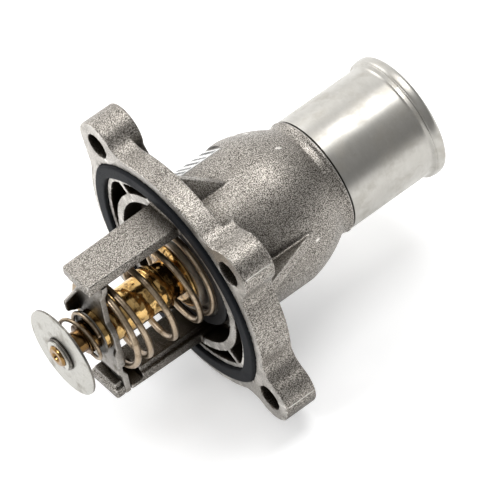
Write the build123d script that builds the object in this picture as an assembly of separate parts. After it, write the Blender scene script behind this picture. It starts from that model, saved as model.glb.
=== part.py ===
from build123d import *
import math
import os

# A coolant outlet for an engine, with the temperature valve that it carries, in millimetres.
# Each piece is drawn with the outlet's axis as z, the flange's short axis as x and its long
# axis as y, z = 0 at the face that meets the engine. The whole is then laid on its side: the
# outlet points along +X and the two cast arms stand one above the other, along Z.
clocking = 36.87                    # turn of the flange's short axis out of the upright, degrees

# Clearances
running_fit = 0.08                  # radial, for what slides
snug_fit = 0.02                     # radial, for what is pressed, bonded or crimped
closed_gap = 0.1                    # between the valve's rubber and its seat when closed

# Flange: an eye of two arcs with rounded corners, and four bolt ears
gasket_arc = 33.0                   # radius of the gasket's long arcs
gasket_tip = 8.0                    # radius of the gasket's corners
gasket_width = 3.7
gasket_clear = 0.5                  # nearest that the gasket comes to the seat ring
gasket_proud = 1.0                  # stands this far out of the flange
gasket_round = 0.3
groove_depth = 2.0
groove_side = 0.05
groove_wall = 1.4                   # wall left inside the groove
face_margin = 2.6                   # flange outside the gasket
flange_plate = 6.3
thin_from = -5                      # two opposite sides of the flange are thinner, from this
thin_to = -74                       # direction to this one, degrees from x
ear_height = 9.4
ear_radius = 6.8
ear_blend = 6.5
flange_round = 0.5                  # on the flange's back edges
bolt_radius = 3.5                   # clears an M6 bolt
long_pair = [(6.0, -36.4), (3.1, 38.2)]
short_pair = [(30.6, 7.5), (-30.6, -7.5)]
pocket_depth = 4.6
pocket_ribs = [(4.5, -1), (-1.5, 1)]    # place across the flange, and which pocket
rib_width = 1.4

# Body of the housing
seat_ring_radius = 23.0
mouth_radius = 20.5
moat_radius = 17.8                  # the seat lip's outer wall
moat_depth = 5.8
seat_depth = 4.2
seat_opening = 14.6
throat_depth = 9.5
chamber_start = 13.0
chamber_wall = 3.4
dome_radius = 20.7
foot_round = 3.6                    # hollow between the flange's back and the body
dome_straight = 28.0
shoulder_mid = (18.9, 34.5)
waist_radius = 15.8
waist_start = 40.4
neck_end = 43.5
lip_radius = 16.2
lip_height = 1.2
spigot_length = 11.0
spigot_wall = 2.2
bore_step = 1.0                     # length of the cone where the chamber meets the spigot's bore

# Outlet tube
tube_radius = 16.0
tube_wall = 1.5
tube_end = 72.9
bead_radius = 17.2
bead_centre = 70.2
bead_half = 2.4
bead_crest = 1.2                    # length of the bead's cylindrical top
tube_flare = 0.2                    # the lip past the bead is this much wider

# Flat for a label on the body
flat_turn = -81.5                   # direction that the flat faces, degrees from x
flat_distance = 19.7
flat_start = 12.0
flat_end = 25.5
label_size = (11.6, 12.4)
label_thick = 0.15

# Cast arms that carry the spring's bridge
arm_inner = 17.4
arm_outer = 21.9
arm_width = 10.4
arm_draft = 0.6                     # wider on each side at the root
arm_ledge = 18.8                    # the arm is narrower inside this
arm_pad_width = 8.6
arm_tips = (-28.0, -26.6)           # upper, lower
arm_edge = 0.5
notch_entry = -18.3                 # end of the recess that the bridge is turned into
notch_depth = 3.1
notch_reach = 0.4                   # past the arm's middle
notch_gap = 0.3
upper_skin = 1.3                    # the upper arm's slot stops this far inside its outer face

# Bridge that the main spring stands on
bridge_face = -23.2
bridge_plate = 1.7
bridge_ring = 6.9                   # radius of the metal round the element's hole
bridge_neck = 4.4                   # half the strap's width
bridge_shoulder = 17.2              # where the strap narrows to its tabs
bridge_joggle = 1.0                 # the ends stand this much nearer the flange
joggle_start = 13.8
joggle_end = 15.6
tab_edge = 5.25
lobe_start = (4.4, -4.6)            # corners of the lobe on each side of the strap
lobe_corner = (6.8, 1.5)
lobe_far = (7.6, 6.5)
lobe_back = (7.2, 9.0)
lobe_end = (5.2, 12.0)
wing_wall = 1.2                     # the lobe's edge is bent away from the spring
wing_start = 2.6                    # place along the strap, clear of the bypass spring
wing_near = 0.9
wing_far = 3.6
wing_slope = 1.6                    # narrower on each side at its tip

# Main valve
disc_face = 2.2
disc_plate = 1.2
disc_radius = 16.0
seal_radius = 16.7
seal_inner = 14.0
seal_cover = 0.5                    # rubber over the disc's engine side
seal_chamfer = 0.4
cup_radius = 10.4
cup_wall = 1.2
cup_height = 2.8

# Wax element
cup_body_radius = 5.6
cup_skin = 0.7
cup_end = -26.5
collar_radius = 6.4
collar_start = -8.7
collar_end = -5.8
crimp_lip = 0.5
diaphragm_thick = 0.5
guide_flange = 1.7
guide_body_radius = 5.2
guide_neck_radius = 4.6
guide_nose_radius = 3.6
guide_nose_start = 3.0
guide_end = 9.0
piston_radius = 2.0
end_chamfer = 0.3
plug_mouth_radius = 3.6
plug_cone = 2.9
plug_end = -4.6
washer_thick = 0.5
stand_off = 0.05                    # between pieces that stand on one another

# Spider inside the outlet that the piston pushes on
spider_hub_radius = 4.4
spider_start = 11.0
spider_height = 6.0
spider_rib = 2.4
spoke_step = 2.0                    # the spokes start this far behind the hub's face
spider_ribs = 3
socket_depth = 3.0

# Bypass valve
stem_seat_radius = 6.3
stem_seat_thick = 0.5
stem_shoulder_radius = 4.2
stem_shoulder_end = -30.0
stem_radius = 3.0
stem_end = -37.9
tip_recess_radius = 1.4
tip_recess_depth = 0.8
bypass_disc_radius = 12.2
bypass_disc_thick = 0.8
disc_round = 0.24
bypass_disc_face = -36.1
bypass_hub_radius = 5.2
bypass_hub_height = 0.6
stop_washer_radius = 4.6
stop_washer_thick = 0.6
ring_radius = 4.1
ring_thick = 0.4
ring_groove_depth = 0.5
ring_opening = 70                   # degrees left open
ring_turn = 140                     # direction of the opening

# Springs
main_wire = 1.7
main_radius = 12.55                 # to the middle of the wire
main_turns = 4.7
main_start_turn = 198               # degrees
main_dead = 0.5                     # flat turns at each end
main_ramp = 0.7
bypass_wire = 1.0
bypass_small = 6.1
bypass_large = 6.9
bypass_turns = 2.6
bypass_start_turn = 20
bypass_dead = 0.35
bypass_ramp = 0.4
points_per_turn = 8

# Gussets between flange and body: direction in degrees, sideways offset, reach, height
gusset_wall = 2.6
gussets = [(-53.8, 6.6, 28.7, 17.3), (38.5, -1.2, 29.8, 28.6)]

past = 1.0                          # how far a cutting shape runs out of what it cuts
arc_offset = gasket_arc - gasket_width - gasket_clear - seat_ring_radius
corner_place = math.sqrt((gasket_arc - gasket_tip) ** 2 - arc_offset ** 2)
bridge_back = bridge_face - bridge_plate
tab_face = bridge_face + bridge_joggle
tab_back = tab_face - bridge_plate
disc_back = disc_face + disc_plate
tube_bore = tube_radius - tube_wall
spigot_radius = tube_bore - snug_fit
spigot_bore = spigot_radius - spigot_wall
spigot_end = neck_end + spigot_length
chamber_radius = dome_radius - chamber_wall
cup_floor = disc_face - cup_height
guide_top = collar_end - crimp_lip - snug_fit
guide_low = guide_top - guide_flange
disc_high = bypass_disc_face + bypass_disc_thick
washer_high = bypass_disc_face - stand_off
ring_low = washer_high - stop_washer_thick - stand_off - ring_thick


def laid(piece):
    # Turns a piece from the drawing's axes to the ones that it is kept in.
    turn = math.radians(clocking)
    across = (0, -math.sin(turn), math.cos(turn))
    return Plane(origin=(0, 0, 0), x_dir=across, z_dir=(1, 0, 0)).location * piece


def slab(sketch, start, end):
    # A flat outline made solid between two places on the axis.
    return extrude(Pos(0, 0, start) * sketch, end - start)


def round_bar(radius, start, end, bore=0.0):
    section = Circle(radius)
    if bore > 0:
        section -= Circle(bore)
    return slab(section, start, end)


def turned(*profile):
    # A solid of revolution from (radius, place) corners.
    outline = Polyline(*[(r, 0, z) for r, z in profile], close=True)
    return revolve(make_face(outline), Axis.Z, 360)


def eye(grow):
    # The gasket's outline, moved outwards by grow: two long arcs joined by two corner arcs.
    arc = gasket_arc + grow
    corner = gasket_tip + grow
    lean = arc / (gasket_arc - gasket_tip)
    x = arc_offset * (lean - 1)
    y = corner_place * lean
    side = arc - arc_offset
    tip = corner_place + corner
    return make_face(Wire([
        ThreePointArc((x, -y), (side, 0), (x, y)),
        ThreePointArc((x, y), (0, tip), (-x, y)),
        ThreePointArc((-x, y), (-side, 0), (-x, -y)),
        ThreePointArc((-x, -y), (0, -tip), (x, -y)),
    ]))


def wedge(start, end):
    # A sector with its point on the axis, wider than the whole part, between two directions.
    middle = (start + end) / 2
    directions = [math.radians(turn) for turn in (start, middle, end)]
    far = 2 * max(math.hypot(*place) for place in long_pair)
    return make_face(Polyline((0, 0), *[(far * math.cos(a), far * math.sin(a)) for a in directions],
                              close=True))


def cheek(place):
    # Fills the hollow on one side of an ear, out to the line that touches the ear and the
    # flange's rounded corner.
    corner = Vector(0, math.copysign(corner_place, place[1]))
    corner_radius = gasket_tip + face_margin
    ear = Vector(*place)
    run = ear - corner
    lean = math.acos((corner_radius - ear_radius) / run.length)
    outward = run.normalized().rotate(Axis.Z, -math.degrees(lean))
    return make_face(Polyline(corner, corner + outward * corner_radius, ear + outward * ear_radius, ear,
                              close=True))


def flange_outline():
    # Growing and shrinking the joined outline rounds the hollows beside the ears.
    outline = eye(face_margin) + cheek(long_pair[0])
    for place in long_pair + short_pair:
        outline += Pos(*place) * Circle(ear_radius)
    grown = offset(outline, amount=ear_blend, kind=Kind.ARC)
    return offset(grown, amount=-ear_blend, kind=Kind.ARC)


def coil(radius_start, radius_end, wire, start, end, turns, start_turn, dead, ramp):
    # A right-handed coil whose pitch dies away over a flat turn at each end.
    active = turns - 2 * dead - ramp
    rise = end - start

    def climbed(turn):
        if turn > turns / 2:
            return active - climbed(turns - turn)
        if turn <= dead:
            return 0.0
        if turn < dead + ramp:
            return (turn - dead) ** 2 / (2 * ramp)
        return turn - dead - ramp / 2

    points = []
    steps = round(turns * points_per_turn)
    hand = 1 if rise > 0 else -1
    for step in range(steps + 1):
        turn = turns * step / steps
        angle = math.radians(start_turn + hand * 360 * turn)
        radius = radius_start + (radius_end - radius_start) * turn / turns
        place = start + rise * climbed(turn) / active
        points.append((radius * math.cos(angle), radius * math.sin(angle), place))
    path = Spline(*points)
    section = Plane(origin=path @ 0, z_dir=path % 0) * Circle(wire / 2)
    return sweep(section, path=path)


def gusset(direction, offset, reach, top):
    # A sloping web from the flange's back to the body, from below its skin.
    skin = math.sqrt(dome_radius ** 2 - offset ** 2)
    root = skin - chamber_wall / 2
    outline = Polyline((root, 0, flange_plate - past), (reach, 0, flange_plate - past),
                       (reach, 0, flange_plate), (skin, 0, top), (root, 0, top), close=True)
    web = extrude(make_face(outline), gusset_wall / 2, both=True)
    return Rot(0, 0, direction) * Pos(0, offset, 0) * web


def arm_block(end, skin):
    # One arm, standing on +x of its own drawing, with its seat for the bridge. The seat's slot
    # stops short of the arm's outer face by skin.
    depth = arm_outer - arm_ledge
    middle = (arm_outer + arm_ledge) / 2
    root = Pos(middle, 0, flange_plate) * Rectangle(depth, arm_width + 2 * arm_draft)
    tip = Pos(middle, 0, end) * Rectangle(depth, arm_width)
    block = loft([root.face(), tip.face()])
    buried = block.faces().sort_by(Axis.Z)[-1].edges()
    block = fillet([e for e in block.edges() if e not in buried], arm_edge)
    pad_end = end + arm_edge
    block += Pos((arm_inner + middle) / 2, 0, (pad_end + moat_depth) / 2) * Box(
        middle - arm_inner, arm_pad_width, moat_depth - pad_end)
    floor = tab_back - snug_fit
    recess = Pos(arm_inner, notch_reach - arm_width / 2, (notch_entry + floor) / 2) * Box(
        2 * notch_depth, arm_width, notch_entry - floor)
    slot_top = tab_face + notch_gap
    slot_deep = arm_outer - skin - arm_inner
    slot = Pos(arm_inner, notch_reach - arm_width / 2, (slot_top + floor) / 2) * Box(
        2 * slot_deep, arm_width, slot_top - floor)
    return block - recess - slot


def inner_shoulder(inset):
    # The body's shoulder, and the same curve inside its wall.
    return ThreePointArc((dome_radius - inset, 0, dome_straight),
                         (shoulder_mid[0] - inset, 0, shoulder_mid[1] - inset / 3),
                         (waist_radius - inset, 0, waist_start - inset / 2))


def foot(back):
    # The hollow that blends the body into the flange's back.
    wide = dome_radius + foot_round
    high = back + foot_round
    bend = foot_round * (1 - math.sqrt(0.5))
    profile = [
        Line((0, 0, 0), (wide, 0, 0)),
        Line((wide, 0, 0), (wide, 0, back)),
        ThreePointArc((wide, 0, back), (dome_radius + bend, 0, back + bend), (dome_radius, 0, high)),
        Line((dome_radius, 0, high), (0, 0, high)),
        Line((0, 0, high), (0, 0, 0)),
    ]
    return revolve(make_face(Wire(profile)), Axis.Z, 360)


def housing():
    outline = flange_outline()
    body = slab(outline, 0, ear_height)
    thick_foot = foot(ear_height)
    for half_turn in (0, 180):
        thin = wedge(thin_to + half_turn, thin_from + half_turn)
        thick_foot -= slab(thin, flange_plate, ear_height + foot_round + past)
        for place in long_pair + short_pair:
            thin -= Pos(*place) * Circle(ear_radius)
        body -= slab(thin, flange_plate, ear_height + past)
    backs = body.faces().filter_by(Axis.Z).sort_by(Axis.Z)[1:]
    body = fillet([edge for face in backs for edge in face.outer_wire().edges()
                   if edge.geom_type != GeomType.LINE], flange_round)
    body += thick_foot + foot(flange_plate)
    skin = [
        Line((0, 0, 0), (dome_radius, 0, 0)),
        Line((dome_radius, 0, 0), (dome_radius, 0, dome_straight)),
        inner_shoulder(0),
        Line((waist_radius, 0, waist_start), (waist_radius, 0, neck_end - lip_height)),
        Line((waist_radius, 0, neck_end - lip_height), (lip_radius, 0, neck_end - lip_height / 2)),
        Line((lip_radius, 0, neck_end - lip_height / 2), (lip_radius, 0, neck_end)),
        Line((lip_radius, 0, neck_end), (spigot_radius, 0, neck_end)),
        Line((spigot_radius, 0, neck_end), (spigot_radius, 0, spigot_end)),
        Line((spigot_radius, 0, spigot_end), (0, 0, spigot_end)),
        Line((0, 0, spigot_end), (0, 0, 0)),
    ]
    body += revolve(make_face(Wire(skin)), Axis.Z, 360)
    for direction, offset, reach, top in gussets:
        for half_turn in (0, 180):
            body += gusset(direction + half_turn, offset, reach, top)

    facing = Rot(0, 0, flat_turn) * Pos(flat_distance, 0, 0)
    flat_length = flat_end - flat_start
    body -= facing * Pos(ear_height / 2, 0, flat_start + flat_length / 2) * Box(
        ear_height, 2 * dome_radius, flat_length)

    throat = turned((0, -past), (mouth_radius, -past), (mouth_radius, moat_depth),
                    (moat_radius, moat_depth), (moat_radius, seat_depth),
                    (seat_opening, seat_depth), (seat_opening, throat_depth),
                    (chamber_radius, chamber_start), (0, chamber_start))
    way_out = [
        Line((0, 0, chamber_start), (chamber_radius, 0, chamber_start)),
        Line((chamber_radius, 0, chamber_start), (chamber_radius, 0, dome_straight)),
        inner_shoulder(chamber_wall),
    ]
    waist = way_out[-1] @ 1
    way_out += [
        Line(waist, (spigot_bore, 0, waist.Z + bore_step)),
        Line((spigot_bore, 0, waist.Z + bore_step), (spigot_bore, 0, spigot_end + past)),
        Line((spigot_bore, 0, spigot_end + past), (0, 0, spigot_end + past)),
        Line((0, 0, spigot_end + past), (0, 0, chamber_start)),
    ]
    hollow = throat + revolve(make_face(Wire(way_out)), Axis.Z, 360)
    body -= hollow

    groove = eye(groove_side) - eye(-gasket_width - groove_side)
    body -= slab(groove, -past, groove_depth)
    crescent = eye(-gasket_width - groove_side - groove_wall) - Circle(seat_ring_radius)
    for across, side in pocket_ribs:
        crescent -= Pos(across, side * seat_ring_radius) * Rectangle(rib_width, seat_ring_radius)
    body -= slab(crescent, -past, pocket_depth)
    for place in long_pair + short_pair:
        body -= Pos(*place) * round_bar(bolt_radius, -past, ear_height + past)

    for half_turn, end, skin in ((0, arm_tips[0], upper_skin), (180, arm_tips[1], -past)):
        body += Rot(0, 0, half_turn - clocking) * arm_block(end, skin)
    hub = round_bar(spider_hub_radius, spider_start, spider_start + spider_height)
    for rib in range(spider_ribs):
        spoke = Pos((chamber_radius + past) / 2, 0, spider_start + spider_height / 2 + spoke_step / 2
                    ) * Box(chamber_radius + past, spider_rib, spider_height - spoke_step)
        hub += Rot(0, 0, 90 + 360 * rib / spider_ribs) * spoke
    body += hub
    return body - round_bar(piston_radius + snug_fit, spider_start - past, spider_start + socket_depth)


def outlet_tube():
    low = bead_centre - bead_half
    high = bead_centre + bead_half
    crest_low = bead_centre - bead_crest / 2
    crest_high = bead_centre + bead_crest / 2
    end_radius = tube_radius + tube_flare
    inner_end = end_radius - tube_wall
    inner_bead = bead_radius - tube_wall
    outside = [
        Line((tube_bore, 0, neck_end), (tube_radius, 0, neck_end)),
        Line((tube_radius, 0, neck_end), (tube_radius, 0, low)),
        TangentArc((bead_radius, 0, crest_low), (tube_radius, 0, low), tangent=(0, 0, -1)),
        Line((bead_radius, 0, crest_low), (bead_radius, 0, crest_high)),
        TangentArc((bead_radius, 0, crest_high), (end_radius, 0, high), tangent=(0, 0, 1)),
        Line((end_radius, 0, high), (end_radius, 0, tube_end)),
        Line((end_radius, 0, tube_end), (inner_end, 0, tube_end)),
        Line((inner_end, 0, tube_end), (inner_end, 0, high)),
        TangentArc((inner_bead, 0, crest_high), (inner_end, 0, high), tangent=(0, 0, 1)),
        Line((inner_bead, 0, crest_high), (inner_bead, 0, crest_low)),
        TangentArc((inner_bead, 0, crest_low), (tube_bore, 0, low), tangent=(0, 0, -1)),
        Line((tube_bore, 0, low), (tube_bore, 0, neck_end)),
    ]
    return revolve(make_face(Wire(outside)), Axis.Z, 360)


def flange_gasket():
    ring = slab(eye(0) - eye(-gasket_width), -gasket_proud, groove_depth)
    top = ring.faces().sort_by(Axis.Z)[0]
    return fillet(top.edges(), gasket_round)


def blank_label():
    facing = Rot(0, 0, flat_turn) * Pos(flat_distance, 0, 0)
    middle = (flat_start + flat_end) / 2
    return facing * Pos(label_thick / 2, 0, middle) * Box(label_thick, *label_size)


def spring_bridge():
    # One side's lobe and one end's tab are drawn, and the rest is the same turned by half a turn.
    tab_side = notch_gap - notch_reach
    lobe = [lobe_start, lobe_corner, lobe_far, lobe_back, lobe_end]
    side = [(bridge_neck, -bridge_shoulder)] + lobe + [
        (tab_edge, arm_outer), (tab_side, arm_outer), (tab_side, bridge_shoulder)]
    outline = side + [(-x, -y) for x, y in side]
    sketch = make_face(Polyline(*outline, close=True)) + Circle(bridge_ring)
    hole = Circle(cup_body_radius + running_fit)
    front = [(-arm_outer, tab_face), (-joggle_end, tab_face), (-joggle_start, bridge_face),
             (joggle_start, bridge_face), (joggle_end, tab_face), (arm_outer, tab_face)]
    back = [(y, z - bridge_plate) for y, z in reversed(front)]
    profile = make_face(Polyline(*[(0, y, z) for y, z in front + back], close=True))
    plate = slab(sketch - hole, bridge_back, tab_face) & extrude(profile, arm_outer, both=True)
    inner = [(x - wing_wall, y) for x, y in lobe[1:4]]
    for half_turn, height in ((0, wing_near), (180, wing_far)):
        low = bridge_back - height
        strip = slab(make_face(Polyline(*lobe[1:4], *reversed(inner), close=True)), low, bridge_face)
        shape = Polyline((0, wing_start, bridge_face), (0, lobe_back[1], bridge_face),
                         (0, lobe_back[1], bridge_back), (0, lobe_back[1] - wing_slope, low),
                         (0, wing_start + wing_slope, low), (0, wing_start, bridge_back),
                         close=True)
        plate += Rot(0, 0, half_turn) * (strip & extrude(make_face(shape), arm_outer, both=True))
    reach = arm_outer - upper_skin - running_fit
    plate -= Pos(0, -reach - arm_outer / 2, tab_face) * Box(arm_outer, arm_outer, arm_outer)
    return Rot(0, 0, 90 - clocking) * plate


def valve_disc():
    return turned((guide_neck_radius + snug_fit, cup_floor), (cup_radius, cup_floor),
                  (cup_radius, disc_face), (disc_radius, disc_face), (disc_radius, disc_back),
                  (cup_radius - cup_wall, disc_back), (cup_radius - cup_wall, cup_floor + cup_wall),
                  (guide_neck_radius + snug_fit, cup_floor + cup_wall))


def valve_seal():
    low = disc_face - seal_cover
    high = seat_depth - closed_gap
    return turned((seal_inner, low), (seal_radius - seal_chamfer, low),
                  (seal_radius, low + seal_chamfer), (seal_radius, high),
                  (seal_inner + 2 * seal_chamfer, high), (seal_inner + seal_chamfer, disc_back + snug_fit),
                  (disc_radius + snug_fit, disc_back + snug_fit),
                  (disc_radius + snug_fit, disc_face - snug_fit), (seal_inner, disc_face - snug_fit))


def element_cup():
    inside = cup_body_radius - cup_skin
    recess = collar_radius - cup_skin
    return turned((0, cup_end), (cup_body_radius, cup_end), (cup_body_radius, collar_start),
                  (collar_radius, collar_start), (collar_radius, collar_end),
                  (guide_body_radius + snug_fit, collar_end),
                  (guide_body_radius + snug_fit, collar_end - crimp_lip),
                  (recess, collar_end - crimp_lip), (recess, collar_start + stand_off),
                  (inside, collar_start + stand_off), (inside, cup_end + cup_skin), (0, cup_end + cup_skin))


def wax_charge():
    radius = cup_body_radius - cup_skin - snug_fit
    return round_bar(radius, cup_end + cup_skin + snug_fit, collar_start)


def diaphragm():
    start = collar_start + 2 * stand_off
    return round_bar(collar_radius - cup_skin - snug_fit, start, start + diaphragm_thick)


def element_guide():
    body = turned((0, guide_low), (collar_radius - cup_skin - snug_fit, guide_low),
                  (collar_radius - cup_skin - snug_fit, guide_top), (guide_body_radius, guide_top),
                  (guide_body_radius, cup_floor - snug_fit), (guide_neck_radius, cup_floor - snug_fit),
                  (guide_neck_radius, guide_nose_start),
                  (guide_nose_radius, guide_nose_start + guide_neck_radius - guide_nose_radius),
                  (guide_nose_radius, guide_end), (0, guide_end))
    bore = round_bar(piston_radius + running_fit, guide_low - past, guide_end + past)
    mouth = turned((0, guide_low - past), (plug_mouth_radius, guide_low - past),
                   (plug_mouth_radius, guide_low), (piston_radius, guide_low + plug_cone),
                   (0, guide_low + plug_cone))
    return body - bore - mouth


def rubber_plug():
    start = guide_low + stand_off
    narrow = guide_low + plug_cone
    return turned((0, start), (plug_mouth_radius - 2 * stand_off, start),
                  (piston_radius - stand_off, narrow), (piston_radius - stand_off, plug_end), (0, plug_end))


def plug_washer():
    return round_bar(piston_radius, plug_end + stand_off, plug_end + stand_off + washer_thick)


def piston():
    start = plug_end + 2 * stand_off + washer_thick
    rod = round_bar(piston_radius, start, spider_start + socket_depth - stand_off)
    return chamfer(rod.edges().filter_by(GeomType.CIRCLE), end_chamfer)


def bypass_stem():
    groove_radius = stem_radius - ring_groove_depth
    return turned((0, cup_end), (stem_seat_radius, cup_end),
                  (stem_seat_radius, cup_end - stem_seat_thick),
                  (stem_shoulder_radius, cup_end - stem_seat_thick),
                  (stem_shoulder_radius, stem_shoulder_end), (stem_radius, stem_shoulder_end),
                  (stem_radius, ring_low + ring_thick), (groove_radius, ring_low + ring_thick),
                  (groove_radius, ring_low), (stem_radius, ring_low),
                  (stem_radius, stem_end + end_chamfer), (stem_radius - end_chamfer, stem_end),
                  (tip_recess_radius, stem_end), (0, stem_end + tip_recess_depth))


def bypass_disc():
    back = disc_high
    plate = turned((stem_radius + running_fit, bypass_disc_face), (bypass_disc_radius, bypass_disc_face),
                   (bypass_disc_radius, back), (bypass_hub_radius, back),
                   (bypass_hub_radius, back + bypass_hub_height),
                   (stem_radius + running_fit, back + bypass_hub_height))
    rim = plate.edges().filter_by(GeomType.CIRCLE).sort_by(SortBy.RADIUS)[-2:]
    return fillet(rim, disc_round)


def stop_washer():
    return round_bar(stop_washer_radius, washer_high - stop_washer_thick, washer_high,
                     stem_radius + snug_fit)


def retaining_ring():
    ring = round_bar(ring_radius, ring_low, ring_low + ring_thick,
                     stem_radius - ring_groove_depth + snug_fit)
    opening = wedge(ring_turn - ring_opening / 2, ring_turn + ring_opening / 2)
    return ring - slab(opening, ring_low - past, ring_low + ring_thick + past)


def main_spring():
    start = disc_face - stand_off - main_wire / 2
    end = bridge_face + stand_off + main_wire / 2
    return coil(main_radius, main_radius, main_wire, start, end, main_turns, main_start_turn,
                main_dead, main_ramp)


def bypass_spring():
    start = cup_end - stem_seat_thick - stand_off - bypass_wire / 2
    end = disc_high + stand_off + bypass_wire / 2
    return coil(bypass_small, bypass_large, bypass_wire, start, end, bypass_turns, bypass_start_turn,
                bypass_dead, bypass_ramp)


pieces = [housing, outlet_tube, flange_gasket, blank_label, spring_bridge, valve_disc, valve_seal,
          main_spring, element_cup, element_guide, wax_charge, diaphragm, rubber_plug, plug_washer,
          piston, bypass_stem, bypass_disc, bypass_spring, stop_washer, retaining_ring]

os.makedirs("parts", exist_ok=True)
for piece in pieces:
    export_step(laid(piece()), "parts/" + piece.__name__ + ".step")
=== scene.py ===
import math

import bmesh
import bpy
from mathutils import Matrix, Vector


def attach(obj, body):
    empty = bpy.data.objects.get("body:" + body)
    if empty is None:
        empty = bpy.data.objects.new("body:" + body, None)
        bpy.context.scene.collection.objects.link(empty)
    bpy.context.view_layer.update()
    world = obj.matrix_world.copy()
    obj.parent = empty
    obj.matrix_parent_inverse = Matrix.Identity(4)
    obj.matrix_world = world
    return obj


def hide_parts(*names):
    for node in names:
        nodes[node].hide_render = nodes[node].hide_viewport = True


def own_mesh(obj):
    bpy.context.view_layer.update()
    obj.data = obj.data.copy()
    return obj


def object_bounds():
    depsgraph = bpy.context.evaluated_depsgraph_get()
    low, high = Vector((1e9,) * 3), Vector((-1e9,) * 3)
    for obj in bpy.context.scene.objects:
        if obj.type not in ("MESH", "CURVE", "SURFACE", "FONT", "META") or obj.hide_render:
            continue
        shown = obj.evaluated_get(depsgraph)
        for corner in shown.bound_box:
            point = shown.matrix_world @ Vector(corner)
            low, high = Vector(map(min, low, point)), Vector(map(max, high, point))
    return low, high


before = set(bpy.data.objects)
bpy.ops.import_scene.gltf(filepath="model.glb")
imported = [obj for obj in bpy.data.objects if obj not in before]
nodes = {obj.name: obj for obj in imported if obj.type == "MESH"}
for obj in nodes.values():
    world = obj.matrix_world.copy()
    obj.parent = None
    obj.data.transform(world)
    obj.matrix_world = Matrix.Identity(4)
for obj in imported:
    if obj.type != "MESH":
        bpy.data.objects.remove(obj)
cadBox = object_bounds()
mm = 0.001
print("frame loaded:", len(nodes), "nodes")

viewCamera = {
    "lookAt": (18.4, -1.95, -1.46),      # mm, middle of the picture
    "towardCamera": (-0.334, -0.566, 0.754),
    "up": (0.543, 0.538, 0.644),
    "distance": 1480.0,                  # mm
    "pixelsPerMm": 4.06,                 # at lookAt, in a picture 480 across
    "pictureWidth": 480.0,
    "sensor": 36.0,                      # mm
    "clip": (0.05, 20.0),                # metres
}


def link(tree, source, target):
    tree.links.new(source, target)


def aimed(spot, backward, up):
    back = Vector(backward).normalized()
    right = Vector(up).cross(back).normalized()
    turn = Matrix((right, back.cross(right), back)).transposed().to_4x4()
    return Matrix.Translation(Vector(spot)) @ turn


def makeCamera(spec):
    data = bpy.data.cameras.new("photoCamera")
    data.sensor_width = spec["sensor"]
    data.lens = spec["sensor"] * spec["pixelsPerMm"] * spec["distance"] / spec["pictureWidth"]
    data.clip_start, data.clip_end = spec["clip"]
    camera = bpy.data.objects.new("photoCamera", data)
    bpy.context.collection.objects.link(camera)
    spot = (Vector(spec["lookAt"]) + Vector(spec["towardCamera"]).normalized() * spec["distance"]) * mm
    camera.matrix_world = aimed(spot, spec["towardCamera"], spec["up"])
    bpy.context.scene.camera = camera


makeCamera(viewCamera)

studio = {
    "horizon": 0.35, "zenith": 0.65, "backWall": 2.0, "worldStrength": 0.6,
    "zenithRise": (0.05, 0.7), "wallRise": (0.0, 0.8),      # where the ceiling and the +y wall brighten
    "floorColour": (0.93, 0.93, 0.93, 1), "floorGlow": 0.37, "floorSheen": 0.2,
    "floorRoughness": (0.7, 0.75), "floorPatch": 50.0, "floorCover": 0.3,
    "floorSize": 1.6, "floorDrop": 0.0002,                  # metres
    # spot in metres, width, height, power in watts
    "softboxes": {
        "overhead": ((0.42, 0.06, 0.86), 0.55, 0.40, 3.7),
        "rear": ((-0.10, 0.75, 0.50), 0.60, 0.40, 2.0),
        "side": ((-0.80, 0.10, 0.45), 0.25, 0.25, 2.6),
    },
}


def makeStudio(spec):
    # White to the camera, and to all else a room with a dark horizon and a bright ceiling.
    world = bpy.data.worlds.new("studioWorld")
    world.use_nodes = True
    tree = world.node_tree
    background = tree.nodes["Background"]
    background.inputs["Strength"].default_value = spec["worldStrength"]
    room = tree.nodes.new("ShaderNodeBackground")
    split = tree.nodes.new("ShaderNodeSeparateXYZ")
    link(tree, tree.nodes.new("ShaderNodeTexCoord").outputs["Generated"], split.inputs[0])
    shades = []
    for axis, rise, shade in (("Z", spec["zenithRise"], spec["zenith"]),
                              ("Y", spec["wallRise"], spec["backWall"])):
        ramp = tree.nodes.new("ShaderNodeMapRange")
        ramp.interpolation_type = "SMOOTHSTEP"
        for socket, value in zip(ramp.inputs[1:5], (*rise, spec["horizon"], shade)):
            socket.default_value = value
        link(tree, split.outputs[axis], ramp.inputs[0])
        shades.append(ramp.outputs[0])
    brighter = tree.nodes.new("ShaderNodeMath")
    brighter.operation = "MAXIMUM"
    link(tree, shades[0], brighter.inputs[0])
    link(tree, shades[1], brighter.inputs[1])
    link(tree, brighter.outputs[0], background.inputs["Color"])
    chooser = tree.nodes.new("ShaderNodeMixShader")
    room.inputs["Color"].default_value = (1, 1, 1, 1)
    link(tree, tree.nodes.new("ShaderNodeLightPath").outputs["Is Camera Ray"], chooser.inputs[0])
    link(tree, background.outputs[0], chooser.inputs[1])
    link(tree, room.outputs[0], chooser.inputs[2])
    link(tree, chooser.outputs[0], tree.nodes["World Output"].inputs["Surface"])
    bpy.context.scene.world = world
    for name, (spot, width, height, power) in spec["softboxes"].items():
        data = bpy.data.lights.new(name, "AREA")
        data.shape = "RECTANGLE"
        data.size = width
        data.size_y = height
        data.energy = power
        box = bpy.data.objects.new(name, data)
        bpy.context.collection.objects.link(box)
        box.matrix_world = aimed(spot, spot, (0.0, 1.0, 0.02))
    bpy.context.scene.view_settings.view_transform = "Standard"


makeStudio(studio)


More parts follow.
